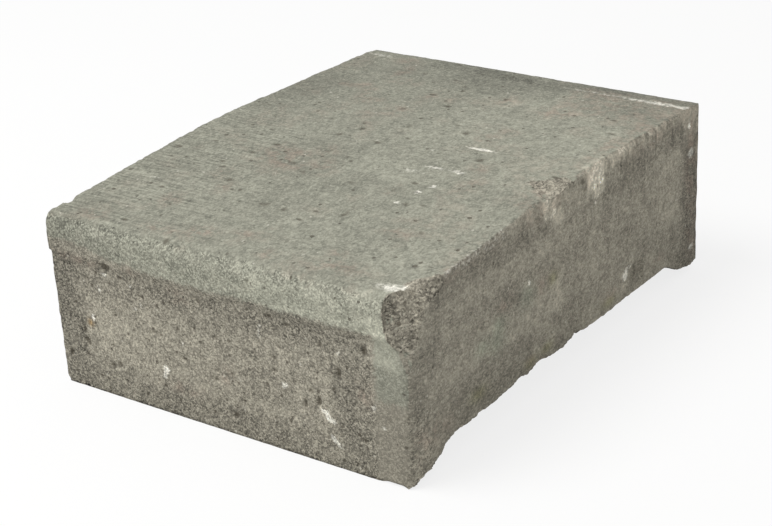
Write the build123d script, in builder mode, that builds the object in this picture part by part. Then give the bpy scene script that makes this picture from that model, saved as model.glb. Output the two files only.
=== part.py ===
from build123d import *
import os

# A cast concrete paving stone, lying on its bed face. Millimetres, X across the
# width, Y along the length, Z up, with the origin at the middle of the underside.

# Driving dimensions
LENGTH = 201.0
WIDTH = 154.0
FRONT_HEIGHT = 66.7
RIDGE_HEIGHT = 72.5
BACK_HEIGHT = 70.0
RIDGE_PLACE = -5.0
RIDGE_RADIUS = 600.0

# The rolled front lip: a band that stands proud of the front face
BAND_HEIGHT = 14.0
BAND_PROUD = 1.0
BAND_UNDERCUT = 0.8
ROLL_RADIUS = 6.0

# The shallow fall of the top along its back edge
BACK_FALL_WIDTH = 7.0
BACK_FALL = 0.65

# Upright edges, in plan
NEAR_RIGHT_RADIUS = 3.2
NEAR_LEFT_RADIUS = 1.0
FAR_RADIUS = 0.8

HALF_LENGTH = LENGTH / 2
HALF_WIDTH = WIDTH / 2
PASS = 2.0

# Broken lower edge of the right side. It is highest between the two corners:
# place along the length, height of the break on the side, depth of it on the underside
BREAK_HEIGHT = 10.0
BREAK_DEPTH = 13.0
BROKEN_EDGE = [
    (-101.0, 0.09 * BREAK_HEIGHT, 0.20 * BREAK_DEPTH),
    (-97.0, 0.14 * BREAK_HEIGHT, 0.30 * BREAK_DEPTH),
    (-90.0, 0.28 * BREAK_HEIGHT, 0.60 * BREAK_DEPTH),
    (-85.0, 0.50 * BREAK_HEIGHT, 0.80 * BREAK_DEPTH),
    (-80.0, 0.83 * BREAK_HEIGHT, 0.92 * BREAK_DEPTH),
    (-74.0, BREAK_HEIGHT, BREAK_DEPTH),
    (-50.0, 0.97 * BREAK_HEIGHT, BREAK_DEPTH),
    (-35.0, 1.12 * BREAK_HEIGHT, 0.92 * BREAK_DEPTH),
    (-29.0, 1.02 * BREAK_HEIGHT, BREAK_DEPTH),
    (-21.0, 1.19 * BREAK_HEIGHT, 1.08 * BREAK_DEPTH),
    (-12.0, 1.05 * BREAK_HEIGHT, BREAK_DEPTH),
    (-3.0, 1.03 * BREAK_HEIGHT, 0.92 * BREAK_DEPTH),
    (4.0, 1.20 * BREAK_HEIGHT, 0.96 * BREAK_DEPTH),
    (12.0, 1.06 * BREAK_HEIGHT, 1.04 * BREAK_DEPTH),
    (30.0, 1.02 * BREAK_HEIGHT, 0.92 * BREAK_DEPTH),
    (48.0, 1.06 * BREAK_HEIGHT, BREAK_DEPTH),
    (73.0, 1.03 * BREAK_HEIGHT, BREAK_DEPTH),
    (78.0, 0.82 * BREAK_HEIGHT, BREAK_DEPTH),
    (82.0, 0.61 * BREAK_HEIGHT, 1.02 * BREAK_DEPTH),
    (88.0, 0.42 * BREAK_HEIGHT, 1.08 * BREAK_DEPTH),
    (95.0, 0.29 * BREAK_HEIGHT, 1.08 * BREAK_DEPTH),
    (101.0, 0.36 * BREAK_HEIGHT, 1.08 * BREAK_DEPTH),
]
ARCH_SHORT = 0.50
ARCH_LONG = 0.87

# Spall at the top of the near right corner: height above the underside, how far it reaches
# along the front face, how deep its left wall is, its reach along the right side, its hollow
SPALL = [
    (43.5, 1.6, 1.0, 2.9, 0.1),
    (57.6, 7.7, 1.1, 10.1, 0.7),
    (67.0, 7.7, 5.8, 14.9, 1.0),
    (74.0, 7.7, 9.4, 18.5, 1.0),
]

# Worn top arrises: place along the length, wear across the top, wear down the side
RIGHT_ARRIS = [
    (-101.0, 0.8, 0.8),
    (-89.0, 1.0, 1.0),
    (-84.0, 3.2, 2.0),
    (-76.0, 1.2, 1.4),
    (-66.0, 1.0, 1.6),
    (-18.0, 1.2, 1.2),
    (-12.0, 5.0, 1.6),
    (-6.0, 9.5, 1.9),
    (0.0, 5.0, 1.6),
    (6.0, 1.5, 1.2),
    (22.0, 1.0, 1.0),
    (50.0, 1.2, 2.2),
    (80.0, 0.8, 0.8),
    (101.0, 0.6, 0.8),
]
LEFT_ARRIS = [
    (-101.0, 0.6, 0.6),
    (-91.0, 0.6, 0.6),
    (-89.5, 2.4, 1.6),
    (-86.5, 2.4, 1.6),
    (-84.5, 0.6, 0.6),
    (-20.0, 0.6, 0.6),
    (RIDGE_PLACE, 0.6, 0.6),
    (10.0, 0.6, 0.6),
    (101.0, 0.6, 0.6),
]


def top_height(y):
    """Height of the crowned top at a place along the length: two slopes from the ridge."""
    if y < RIDGE_PLACE:
        return RIDGE_HEIGHT - (RIDGE_HEIGHT - FRONT_HEIGHT) * (RIDGE_PLACE - y) / (HALF_LENGTH + RIDGE_PLACE)
    return RIDGE_HEIGHT - (RIDGE_HEIGHT - BACK_HEIGHT) * (y - RIDGE_PLACE) / (HALF_LENGTH - RIDGE_PLACE)


def arris_cutter(side, stations):
    """Solid that takes the worn strip off a long top arris; side is 1 right, -1 left."""
    with BuildPart() as cutter:
        for y, across, down in stations:
            height = top_height(y)
            on_top = Vector(side * (HALF_WIDTH - across), height)
            on_side = Vector(side * HALF_WIDTH, height - down)
            run = on_side - on_top
            with BuildSketch(Plane.XZ.offset(-y)):
                with BuildLine():
                    Polyline(
                        on_top - run * PASS,
                        on_side + run * PASS,
                        (side * (HALF_WIDTH + 4 * PASS + across), height + 4 * PASS + down),
                        close=True,
                    )
                make_face()
        loft(ruled=True)
    return cutter.part


# The break under the right side is arched in section, from the side in to the underside
with BuildPart() as lower_break:
    for y, height, depth in BROKEN_EDGE:
        with BuildSketch(Plane.XZ.offset(-y)):
            with BuildLine():
                Polyline(
                    (HALF_WIDTH + PASS, -PASS),
                    (HALF_WIDTH + PASS, height),
                    (HALF_WIDTH, height),
                    (HALF_WIDTH - ARCH_SHORT * depth, ARCH_LONG * height),
                    (HALF_WIDTH - ARCH_LONG * depth, ARCH_SHORT * height),
                    (HALF_WIDTH - depth, 0),
                    (HALF_WIDTH - depth, -PASS),
                    close=True,
                )
            make_face()
    loft(ruled=True)

# The spall is lofted upwards through level sections, each one a broken corner in plan
# with a wall at its left and a slightly hollow face that runs out on the right side
with BuildPart() as corner_spall:
    for height, along_front, wall, along_side, hollow in SPALL:
        wall_foot = Vector(HALF_WIDTH - along_front, -HALF_LENGTH + wall)
        side_end = Vector(HALF_WIDTH, -HALF_LENGTH + along_side)
        with BuildSketch(Plane.XY.offset(height)):
            with BuildLine():
                Polyline(
                    (HALF_WIDTH - along_front, -HALF_LENGTH - PASS),
                    wall_foot,
                    (wall_foot + side_end) / 2 + Vector(-hollow, hollow),
                    side_end,
                    (HALF_WIDTH + PASS, -HALF_LENGTH + along_side),
                    (HALF_WIDTH + PASS, -HALF_LENGTH - PASS),
                    close=True,
                )
            make_face()
    loft(ruled=True)

with BuildPart() as stone:
    # Plan, with the upright edges softened by the mould
    with BuildSketch():
        Rectangle(WIDTH, LENGTH)
        near_left, near_right = vertices().group_by(Axis.Y)[0].sort_by(Axis.X)
        fillet(near_left, NEAR_LEFT_RADIUS)
        fillet(near_right, NEAR_RIGHT_RADIUS)
        fillet(vertices().group_by(Axis.Y)[-1], FAR_RADIUS)
    extrude(amount=RIDGE_HEIGHT + PASS)

    # Section along the length: front face, proud band, roll, crown and back fall
    band_foot = FRONT_HEIGHT - BAND_HEIGHT
    fall_start = HALF_LENGTH - BACK_FALL_WIDTH
    with BuildSketch(Plane.YZ):
        with BuildLine():
            Polyline(
                (-HALF_LENGTH + BAND_PROUD, 0),
                (-HALF_LENGTH + BAND_PROUD, band_foot),
                (-HALF_LENGTH, band_foot + BAND_UNDERCUT),
                (-HALF_LENGTH, FRONT_HEIGHT),
                (RIDGE_PLACE, RIDGE_HEIGHT),
                (fall_start, top_height(fall_start)),
                (HALF_LENGTH, BACK_HEIGHT - BACK_FALL),
                (HALF_LENGTH, 0),
                close=True,
            )
        make_face()
        fillet(vertices().sort_by(Axis.Y)[-1], RIDGE_RADIUS)
        front_top = vertices().group_by(Axis.X)[0].sort_by(Axis.Y)[-1]
        fillet(front_top, ROLL_RADIUS)
    extrude(amount=HALF_WIDTH, both=True, mode=Mode.INTERSECT)

    # Wear and breaks
    add(corner_spall.part, mode=Mode.SUBTRACT)
    add(lower_break.part, mode=Mode.SUBTRACT)
    add(arris_cutter(1, RIGHT_ARRIS), mode=Mode.SUBTRACT)
    add(arris_cutter(-1, LEFT_ARRIS), mode=Mode.SUBTRACT)

stone.part.label = "paving_stone"

os.makedirs("parts", exist_ok=True)
export_step(stone.part, "parts/paving_stone.step")
box = stone.part.bounding_box()
print("solids", len(stone.part.solids()), "volume", round(stone.part.volume), "mm3")
print("box", box.min, box.max)
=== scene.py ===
import math

import bpy
import numpy as np
from mathutils import Matrix, Vector


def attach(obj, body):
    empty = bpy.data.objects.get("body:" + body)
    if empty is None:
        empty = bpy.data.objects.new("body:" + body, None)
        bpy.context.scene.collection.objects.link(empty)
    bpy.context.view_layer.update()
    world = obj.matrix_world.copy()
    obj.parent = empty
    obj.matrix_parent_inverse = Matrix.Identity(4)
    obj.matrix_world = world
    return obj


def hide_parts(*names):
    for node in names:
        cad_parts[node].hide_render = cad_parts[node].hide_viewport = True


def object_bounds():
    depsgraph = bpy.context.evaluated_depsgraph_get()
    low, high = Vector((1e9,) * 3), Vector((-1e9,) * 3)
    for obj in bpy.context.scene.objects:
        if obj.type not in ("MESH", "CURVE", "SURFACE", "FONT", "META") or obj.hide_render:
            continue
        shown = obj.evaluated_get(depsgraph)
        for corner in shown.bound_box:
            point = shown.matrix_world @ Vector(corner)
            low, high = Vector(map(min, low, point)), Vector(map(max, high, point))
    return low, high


# A cast concrete paving stone. The mesh is worked out in millimetres in the frame's
# axes: X across the width, Y along the length, Z up, and scaled to metres at the end.

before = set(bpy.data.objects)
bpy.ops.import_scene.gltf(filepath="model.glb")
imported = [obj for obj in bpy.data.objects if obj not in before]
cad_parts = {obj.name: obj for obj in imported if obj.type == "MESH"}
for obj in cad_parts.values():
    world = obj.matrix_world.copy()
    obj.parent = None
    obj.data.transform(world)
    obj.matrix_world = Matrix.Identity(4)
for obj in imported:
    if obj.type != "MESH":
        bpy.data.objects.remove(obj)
cad_low, cad_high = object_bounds()

MM = 0.001

# Main sizes, millimetres
HALF_WIDTH = cad_high.x / MM
HALF_LENGTH = cad_high.y / MM
FRONT_HEIGHT = 66.7
RIDGE_HEIGHT = 72.5
BACK_HEIGHT = 70.0
RIDGE_PLACE = -5.0
RIDGE_SOFTNESS = 1.1
BACK_FALL_WIDTH = 7.0
BACK_FALL = 0.65

# The band that stands proud along the top of the front, and its roll into the top
BAND_HEIGHT = 14.0
BAND_PROUD = 1.0
BAND_FOOT = FRONT_HEIGHT - BAND_HEIGHT
FRONT_FACE = -HALF_LENGTH + BAND_PROUD
ROLL_RADIUS = 6.5
ROLL_RADIUS_LEFT = 4.6

# Upright edges, in plan: the near ones are rounder at their foot
NEAR_RIGHT_RADIUS = 2.2
NEAR_RIGHT_FOOT_RADIUS = 3.2
NEAR_LEFT_RADIUS = 0.5
NEAR_LEFT_FOOT_RADIUS = 2.6
FAR_RADIUS = 0.5

# The bottom edge of the front, which is rounder beside the right corner
FOOT_RADIUS = 0.2
FOOT_RADIUS_RIGHT = 2.1

# Every edge loses at least LEAST_CUT, and the relief lies about SINK under the plain faces
LEAST_CUT = 0.15
SINK = 0.12

# Left limit of the greenish strip beside the near right edge, and the pale line at the back
STRIP_EDGE = 63.8
BACK_LINE = 91.0

# Mesh fineness
CELL = 0.56
TRIANGLE_LIMIT = 196000

# Broken lower edge of the right side: place along the length, height on the side,
# depth on the underside
BROKEN_EDGE = [
    (-101, 0.9, 2),
    (-98, 1.1, 3),
    (-95, 2.4, 5),
    (-89, 2.9, 8),
    (-86, 4.7, 10),
    (-83, 5.8, 11),
    (-80, 8.5, 12),
    (-77, 9.1, 12),
    (-74, 10.1, 12.5),
    (-68, 9.4, 13),
    (-62, 9.6, 13),
    (-59, 10.3, 13),
    (-56, 9.6, 13),
    (-50, 9.7, 13),
    (-44, 10.2, 12),
    (-38, 10.6, 12),
    (-35, 11.3, 12),
    (-32, 11.1, 12.5),
    (-29, 10.2, 13),
    (-23, 11.7, 14),
    (-20, 11.9, 14),
    (-14, 10.8, 13),
    (-5, 10.1, 12),
    (1, 11.0, 12),
    (4, 12.1, 12.5),
    (7, 11.8, 13),
    (10, 10.8, 13.5),
    (25, 10.2, 12),
    (46, 10.7, 13),
    (52, 10.3, 13),
    (73, 10.3, 13),
    (76, 9.4, 13),
    (79, 7.6, 13),
    (82, 6.1, 13),
    (85, 4.9, 13.5),
    (88, 4.2, 14),
    (94, 2.8, 14),
    (97, 3.0, 14),
    (101, 3.6, 14),
]

# Worn top arrises: place along the length, wear across the top, wear down the side
RIGHT_ARRIS = [
    (-101, 0.6, 0.6),
    (-93, 1.2, 1.0),
    (-89, 5.8, 4.5),
    (-85, 5.0, 5.0),
    (-81, 2.4, 4.0),
    (-77, 0.5, 1.0),
    (-70, 0.3, 0.5),
    (-52, 0.3, 0.4),
    (-40, 0.5, 0.6),
    (-18, 1.2, 1.2),
    (-12, 5.0, 1.6),
    (-6, 9.5, 1.9),
    (0, 5.0, 1.6),
    (6, 1.5, 1.2),
    (22, 1.0, 1.0),
    (36, 1.2, 1.8),
    (50, 1.2, 2.2),
    (66, 1.2, 1.4),
    (80, 0.8, 0.8),
    (101, 0.4, 0.6),
]
LEFT_ARRIS = [
    (-101, 0.3, 0.3),
    (-91, 0.4, 0.4),
    (-89.5, 2.4, 1.6),
    (-86.5, 2.4, 1.6),
    (-84.5, 0.5, 0.5),
    (0, 0.3, 0.25),
    (101, 0.3, 0.25),
]

# A round hollow in the right side: centre, radius, depth
DIMPLE = ((77.0, 50.2, 17.2), 5.8, 1.6)

# Two scatters of pits: spacing, seed, depth
PITS = ((4.2, 61, 0.75), (2.6, 67, 0.45))

# How much of something each face has: pits, height of the fine relief, and how coarse
# and how rough the grain looks. Plain is all that faces left, back or down
PIT_SHARE = {"top": 0.06, "band": 0.08, "front": 0.12, "right": 0.05}
FINE_RELIEF = {"top": 0.10, "band": 0.20, "front": 0.20, "right": 0.09}
COARSE = {"top": 0.34, "band": 0.80, "front": 0.85, "right": 0.48, "plain": 0.7}
ROUGH = {"top": 0.90, "band": 0.80, "front": 1.1, "right": 1.1, "plain": 1.0}

# Marks on each face: place, reach both ways, and how dark (below 0) or light they are.
# The stains have no last number
TOP_SPOTS = [
    (-37, 80, 2.0, 1.3, -0.7),
    (-13, 73, 1.8, 2.6, -0.6),
    (-10.5, 68, 1.6, 2.2, -0.7),
    (10, 67.5, 1.3, 2.2, -0.8),
    (20, 73, 2.0, 1.3, -0.5),
    (-5, 49, 2.2, 1.6, -0.8),
    (-37, 42, 3.2, 2.0, -0.5),
    (-19, 38, 3.0, 1.8, -0.6),
    (65.5, 50.8, 2.2, 1.2, -0.8),
    (18.5, 26, 1.8, 2.2, -0.8),
    (-5, 22, 1.3, 2.6, -0.7),
    (-4, 16, 1.4, 1.4, -0.5),
    (-36, 15, 1.8, 1.3, -0.7),
    (-19, 11.5, 1.6, 2.0, -0.9),
    (-57, 6.5, 1.6, 1.8, -0.7),
    (-23, 2, 1.7, 1.5, -0.8),
    (-5, 1.5, 1.9, 1.8, -0.9),
    (3, 10, 1.8, 1.5, -0.7),
    (10.5, 32, 1.8, 1.3, -0.7),
    (38.5, 3.5, 1.9, 1.8, -0.9),
    (-17, -13, 2.6, 1.8, -0.6),
    (-13, -19, 2.2, 2.0, -0.5),
    (-38, -17, 2.2, 1.5, -0.8),
    (-42, -26, 3.2, 1.8, -0.7),
    (-22, -28, 4.0, 1.6, -0.7),
    (-13.5, -33, 2.4, 1.4, -0.7),
    (-72, -34, 2.6, 1.4, -0.8),
    (-47, -38, 1.9, 1.3, -0.7),
    (-43.5, -41.5, 1.7, 1.3, -0.8),
    (-34, -49.7, 2.2, 1.8, -0.9),
    (-59, -49, 2.6, 2.2, -0.6),
    (-9, -60.5, 2.8, 2.2, -0.7),
    (0, -61, 2.0, 2.0, -0.8),
    (21.5, -55, 1.4, 3.0, -0.8),
    (25.5, -32, 1.9, 1.8, -0.6),
    (36.5, -40, 1.9, 1.4, -0.8),
    (9, -33, 2.8, 1.5, -0.6),
    (54, -56, 1.4, 1.4, -0.6),
    (-40, -75, 2.0, 3.2, -0.5),
    (-46, -91.5, 2.0, 1.2, -0.9),
    (-22, -97, 2.0, 1.6, -0.8),
    (-31, -92, 2.2, 1.5, -0.5),
    (-16, -95, 2.2, 1.4, -0.5),
    (33.3, 12.8, 5.6, 1.2, 1.4),
    (29.2, -10, 6.0, 1.3, 0.75),
    (38.6, -9.8, 3.0, 1.6, 0.85),
    (22, -15.5, 6.5, 2.2, 0.55),
    (18, 3.2, 1.9, 1.4, 0.65),
    (37, -24, 1.5, 1.2, 1.4),
    (34.5, -30, 1.3, 1.1, 1.4),
    (32.5, -40, 1.1, 1.0, 1.2),
    (27, 7, 1.4, 1.4, 0.5),
    (0, -27.5, 3.5, 2.2, 0.35),
    (-61, -60, 6.0, 0.9, 0.5),
    (22, 47, 1.8, 1.0, 0.4),
    (66.5, -92.4, 6.0, 2.6, 0.80),
    (70.5, -90.0, 2.4, 2.2, 0.55),
    (51, -90.5, 1.8, 0.8, 0.6),
    (-69, 93.5, 9.0, 2.0, 0.65),
]
TOP_RUST = [
    (-20, 34, 5.5, 7.0),
    (-28, -22, 10.0, 5.0),
    (-25, -30, 9.0, 4.0),
    (-9, -24, 4.0, 4.0),
    (-16, -13, 4.0, 4.5),
    (-36, 41, 6.0, 4.0),
    (-44, 50, 3.0, 6.0),
    (-28, 25, 4.0, 5.0),
    (-20, 16, 3.5, 4.0),
    (-58, 53, 6.0, 3.0),
    (-50, 57, 2.5, 3.0),
    (-38, 67, 7.0, 3.5),
    (-18, 56, 3.0, 8.0),
    (-8, 57, 3.0, 5.0),
    (12, 66, 5.5, 5.0),
    (35, 59, 7.0, 5.0),
    (-46, 78, 3.0, 8.0),
    (-54, 92, 5.0, 5.0),
    (33, 34, 4.0, 3.0),
    (28, 24, 3.0, 4.0),
    (43, -3, 4.0, 4.0),
    (72, 42, 4.0, 9.0),
    (48, -18, 4.0, 6.0),
    (-40, -46, 3.0, 6.0),
    (-31, -56, 3.0, 4.0),
    (-42, -72, 4.0, 5.0),
    (-28, -92, 11.0, 3.0),
    (-14, -87, 6.0, 3.0),
    (-60, -93, 5.0, 3.0),
    (0, -82, 4.0, 2.5),
    (44, -88, 12.0, 4.0),
    (38, -80, 4.0, 2.5),
    (16, -91, 3.0, 3.0),
    (25, -33, 4.0, 3.0),
    (46, -60, 5.0, 2.5),
]
FRONT_SPOTS = [
    (-50.8, 51.0, 2.2, 1.6, -1.2),
    (-44.4, 48.2, 1.2, 0.8, -0.9),
    (-65.0, 23.4, 0.8, 1.5, -1.0),
    (-64.6, 19.4, 1.2, 0.9, -1.0),
    (-63.6, 18.0, 1.0, 0.9, -0.9),
    (-73.2, 12.3, 0.9, 1.5, -1.1),
    (-52.8, 11.8, 1.3, 1.1, -0.9),
    (-48.9, 13.2, 0.9, 1.4, -0.9),
    (-17.7, 23.4, 1.3, 0.8, -0.8),
    (-19.4, 34.2, 1.0, 1.2, -0.7),
    (-34.0, 26.6, 1.0, 0.7, -0.7),
    (-30.9, 30.4, 1.4, 0.7, -0.7),
    (-27.7, 30.0, 1.2, 0.8, -0.6),
    (-48.6, 32.8, 0.8, 0.8, -0.8),
    (-34.6, 43.0, 1.0, 0.8, -0.7),
    (59.9, 46.1, 1.3, 1.6, -1.2),
    (49.1, 35.7, 1.0, 1.8, -1.2),
    (40.3, 22.8, 1.0, 1.8, -1.2),
    (34.7, 20.8, 0.7, 1.9, -1.1),
    (29.0, 47.7, 1.3, 1.0, -0.8),
    (21.2, 49.3, 2.2, 1.0, -0.9),
    (42.2, 43.9, 0.8, 1.2, -0.8),
    (3.7, 7.4, 1.5, 1.2, -1.0),
    (22.5, 29.5, 1.4, 0.8, -0.8),
    (22.9, 33.8, 0.8, 1.2, -0.7),
    (57.9, 13.1, 1.4, 1.0, -0.9),
    (54.7, 3.3, 1.0, 0.8, -0.8),
    (8.3, 14.1, 1.0, 1.0, -0.7),
    (-3.8, 19.4, 1.2, 0.9, -0.8),
    (-2.8, 35.5, 1.4, 0.8, -0.8),
    (-9.0, 47.5, 1.6, 1.4, -0.7),
    (25.0, 38.6, 1.8, 0.7, -0.6),
    (-26.6, 17.2, 1.1, 1.3, 2.0),
    (-27.4, 14.8, 0.6, 1.6, 1.4),
    (-51.7, 47.9, 1.2, 0.9, 1.6),
    (-35.1, 39.6, 0.9, 0.7, 1.5),
    (-38.5, 37.6, 0.9, 0.7, 1.4),
    (-39.6, 46.1, 0.8, 0.8, 1.3),
    (-55.0, 41.5, 0.8, 1.2, 1.2),
    (-59.7, 29.6, 0.6, 1.4, 1.6),
    (17.0, 42.2, 0.7, 2.2, 0.9),
    (17.2, 45.0, 1.4, 0.7, 0.8),
    (26.4, 25.3, 1.1, 1.2, 1.6),
    (7.5, 22.2, 1.0, 0.7, 1.0),
    (49.9, 43.1, 0.9, 1.1, 0.9),
    (62.9, 26.5, 1.0, 1.3, 1.1),
    (66.5, 20.3, 0.8, 0.8, 0.9),
    (40.9, 20.4, 0.7, 0.8, 1.3),
    (43.1, 19.6, 1.2, 1.0, 2.0),
    (44.0, 18.0, 0.7, 1.2, 1.4),
    (45.2, 17.3, 1.6, 0.9, 2.2),
    (45.2, 11.4, 0.6, 1.2, 1.5),
    (46.0, 10.0, 0.6, 1.2, 2.2),
    (47.4, 8.9, 0.7, 0.8, 1.8),
    (48.6, 8.0, 0.8, 0.5, 1.3),
    (49.5, 3.5, 0.8, 0.8, 0.8),
    (69.5, 57.1, 1.0, 0.8, 0.9),
    (-36.0, 15.5, 1.8, 1.2, 0.5),
    (-17.5, 29.5, 1.4, 1.2, 0.6),
    (8.0, 11.5, 1.1, 1.3, 0.6),
    (29.0, 58.0, 4.5, 2.5, 0.25),
]
FRONT_RUST = [
    (-18, 47, 4.5, 3.0),
    (-19, 12, 8.0, 2.5),
    (1, 22, 3.0, 3.0),
    (59, 31, 4.0, 5.0),
    (-60, 51, 8.0, 2.0),
    (-38, 53, 4.0, 2.0),
    (-72, 52, 4.0, 2.0),
]
FRONT_OCHRE = [
    (-61.3, 27.0, 1.3, 1.5),
]
RIGHT_SPOTS = [
    (-26.6, 44.4, 1.0, 1.4, 1.0),
    (10.0, 68.5, 2.2, 1.8, -0.8),
    (12.5, 65.5, 1.8, 1.6, -0.7),
    (18.7, 57.6, 1.0, 0.9, 1.0),
    (20.5, 63.0, 0.7, 0.9, -2.2),
    (41.4, 19.8, 2.2, 2.4, 1.3),
    (44.8, 22.4, 2.4, 1.0, 0.9),
    (92.0, 63.2, 1.3, 2.2, 1.0),
    (93.8, 51.0, 1.9, 1.7, 1.9),
    (93.0, 24.0, 1.2, 2.6, 0.45),
    (95.5, 10.8, 2.2, 1.6, 1.2),
    (82.5, 36.0, 0.9, 2.2, 0.6),
    (-93.5, 11.5, 1.4, 1.6, 0.7),
    (8.0, 39.0, 2.6, 0.8, 0.35),
    (50.6, 17.2, 4.8, 4.2, -0.6),
    (-80.5, 63.0, 3.0, 3.0, -0.5),
    (-95.0, 60.5, 0.9, 1.8, 0.7),
]
RIGHT_RUST = [
    (-42, 43, 5.0, 3.0),
    (-18, 40, 4.0, 4.0),
    (-85, 15, 8.0, 4.0),
    (-95, 14, 3.0, 5.0),
    (-27, 15, 3.0, 2.0),
    (93.5, 30, 1.8, 8.0),
    (93.5, 46, 2.2, 8.0),
    (93.5, 56, 2.0, 8.0),
    (95, 20, 5.0, 18.0),
    (95, 52, 5.0, 16.0),
    (30, 17, 6.0, 2.0),
    (67, 16, 5.0, 2.0),
]
RIGHT_MOSS = [
    (-60, 17, 5.0, 2.5),
    (-27, 14, 4.0, 2.0),
    (-16, 15, 4.0, 2.0),
    (29, 14, 5.0, 1.8),
    (-11, 40, 3.0, 2.5),
]
RIGHT_GREEN = [
    (-48, 31, 5.0, 4.0),
    (-57, 33, 4.0, 3.0),
    (-46, 37, 4.0, 3.0),
    (-28, 40, 5.0, 4.0),
]

# Wider patches of each face that are lighter or darker: span one way, span the other,
# softness, strength
FRONT_TONES = [
    (-90, -69, -9, 60, 8, -1.00),
    (-76, -62, 28, 44, 6, -0.35),
    (-90, -24, 47, 60, 3, -0.30),
    (-24, 90, 47, 60, 3, -0.05),
    (-62, 6, 40, 45, 3, -0.40),
    (-28, 4, 12, 30, 5, 0.35),
    (16, 46, 12, 32, 4, 0.30),
    (-56, -46, 16, 28, 4, 0.35),
    (-38, -22, -9, 9, 4, -0.45),
    (65, 74, 43, 52, 2.5, 0.90),
    (13, 46, 44, 51, 3, -0.60),
    (-20, -4, 46, 50, 3, -0.10),
    (-90, 62, -9, 2, 3, -0.20),
    (-62, 40, -9, 10, 4, -0.48),
    (46, 54, 9, 27, 3, -0.45),
    (51, 60.5, -9, 50, 2.0, -0.60),
    (-60, 44, 16, 41, 5, 0.30),
    (-58, -32, 12, 37, 6, 0.55),
    (26, 46, 24, 46, 6, 0.15),
    (-5, 14, 24, 44, 5, -0.25),
    (14, 26, 20, 28, 4, -0.85),
    (61, 72, 43, 50, 3, 0.60),
    (62.5, 69.5, 53.5, 58.5, 1.6, 1.9),
    (64, 76, 32, 52, 3, 0.10),
    (66, 77, -9, 26, 3, -0.25),
    (64, 77, 6, 34, 3, -0.25),
]
BAND_TONES = [
    (59, 67, 62.5, 67, 2, 0.30),
    (-38, -22, 54, 62, 4, 0.40),
    (6, 34, 54, 60, 3, 0.20),
    (-26, -14, 50, 54, 3, 0.40),
    (16, 52, 54, 61, 3, 0.60),
    (50, 72, 50, 55, 2.5, 0.70),
    (62.5, 70.5, 53.0, 59.0, 1.6, 1.6),
]
RIGHT_TONES = [
    (10, 50, 67, 72, 2, 0.65),
    (12, 38, 62, 66, 2, 0.50),
    (-20, -11, 61, 66, 2, -0.60),
    (-98, -93, 57, 66, 2, -0.70),
    (0, 10, 38, 44, 3, -0.60),
    (80, 90, 16, 24, 3, -0.60),
    (46.5, 54.5, 13.5, 20.5, 1.5, -0.90),
    (-101, -90, 4, 18, 3, 0.35),
    (-84, -28, 60, 67, 3, -0.60),
    (-84, -76, 59, 67, 2, -0.85),
    (-62, -48, 60, 66, 3, -0.30),
    (38, 57, 56, 66, 3, -0.80),
    (57, 78, 58, 66, 3, -0.40),
    (78, 86, 58, 66, 3, -1.00),
    (89.5, 97, 57, 70, 2, 1.40),
    (-94, -84, 62, 68, 2, 0.60),
    (78, 90, 67, 70, 2, 0.60),
    (10, 70, 9, 17, 3, 0.60),
    (10, 60, 18, 22, 3, 0.40),
    (-60, -20, 66, 70, 2, 0.40),
    (-28, 38, 58, 61, 3, -0.25),
    (-5, 13, 60, 70, 3, 0.75),
    (21, 29, 53, 61, 2, -0.50),
    (-38, -14, 66.5, 70, 2, 0.80),
    (-69, 28, 51, 56, 2.5, 0.50),
    (-62, -30, 42, 48, 3, -0.30),
    (-41, -33, 33, 47, 4, -0.55),
    (-88, -6, 28, 37, 3, 0.50),
    (-11, -5, 29, 37, 2, 0.50),
    (-6, 22, 28, 42, 4, 0.40),
    (-78, -26, 13, 26, 3, -0.65),
    (-60, -30, 22, 31, 4, 0.20),
    (-6, 14, 12, 27, 4, -0.35),
    (14, 84, 13, 25, 5, -0.05),
    (14, 60, 34, 44, 6, 0.20),
    (-72, 0, 3, 14, 3, -0.35),
    (69, 83, 30, 57, 4, 0.65),
    (-101, -92, 20, 44, 4, -0.75),
    (-92, -84, 26, 48, 3, -0.45),
    (-92, -86, 50, 57, 3, 0.30),
    (-86, -81, 34, 58, 3, -0.35),
    (88, 101, 5, 62, 3, -0.85),
    (91, 97, 16, 58, 3, -0.70),
    (99.2, 102, 0, 70, 0.8, -1.10),
    (80, 95, 0, 12, 4, -0.60),
]
RIGHT_BLOOM = [
    (14.8, 23.8, 63.0, 74, 1.6, 3.7),
    (18.0, 23.8, 58.5, 63.0, 1.6, 3.4),
    (-15.5, -8.5, 64, 73, 1.6, 3.0),
    (-11, -4.5, 60.5, 64, 1.6, 1.9),
    (27, 47, 69.8, 73, 1.6, 1.5),
    (27, 47, 67.5, 69.8, 1.6, 0.9),
    (47, 66, 70.0, 73, 1.6, 0.8),
]
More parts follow.
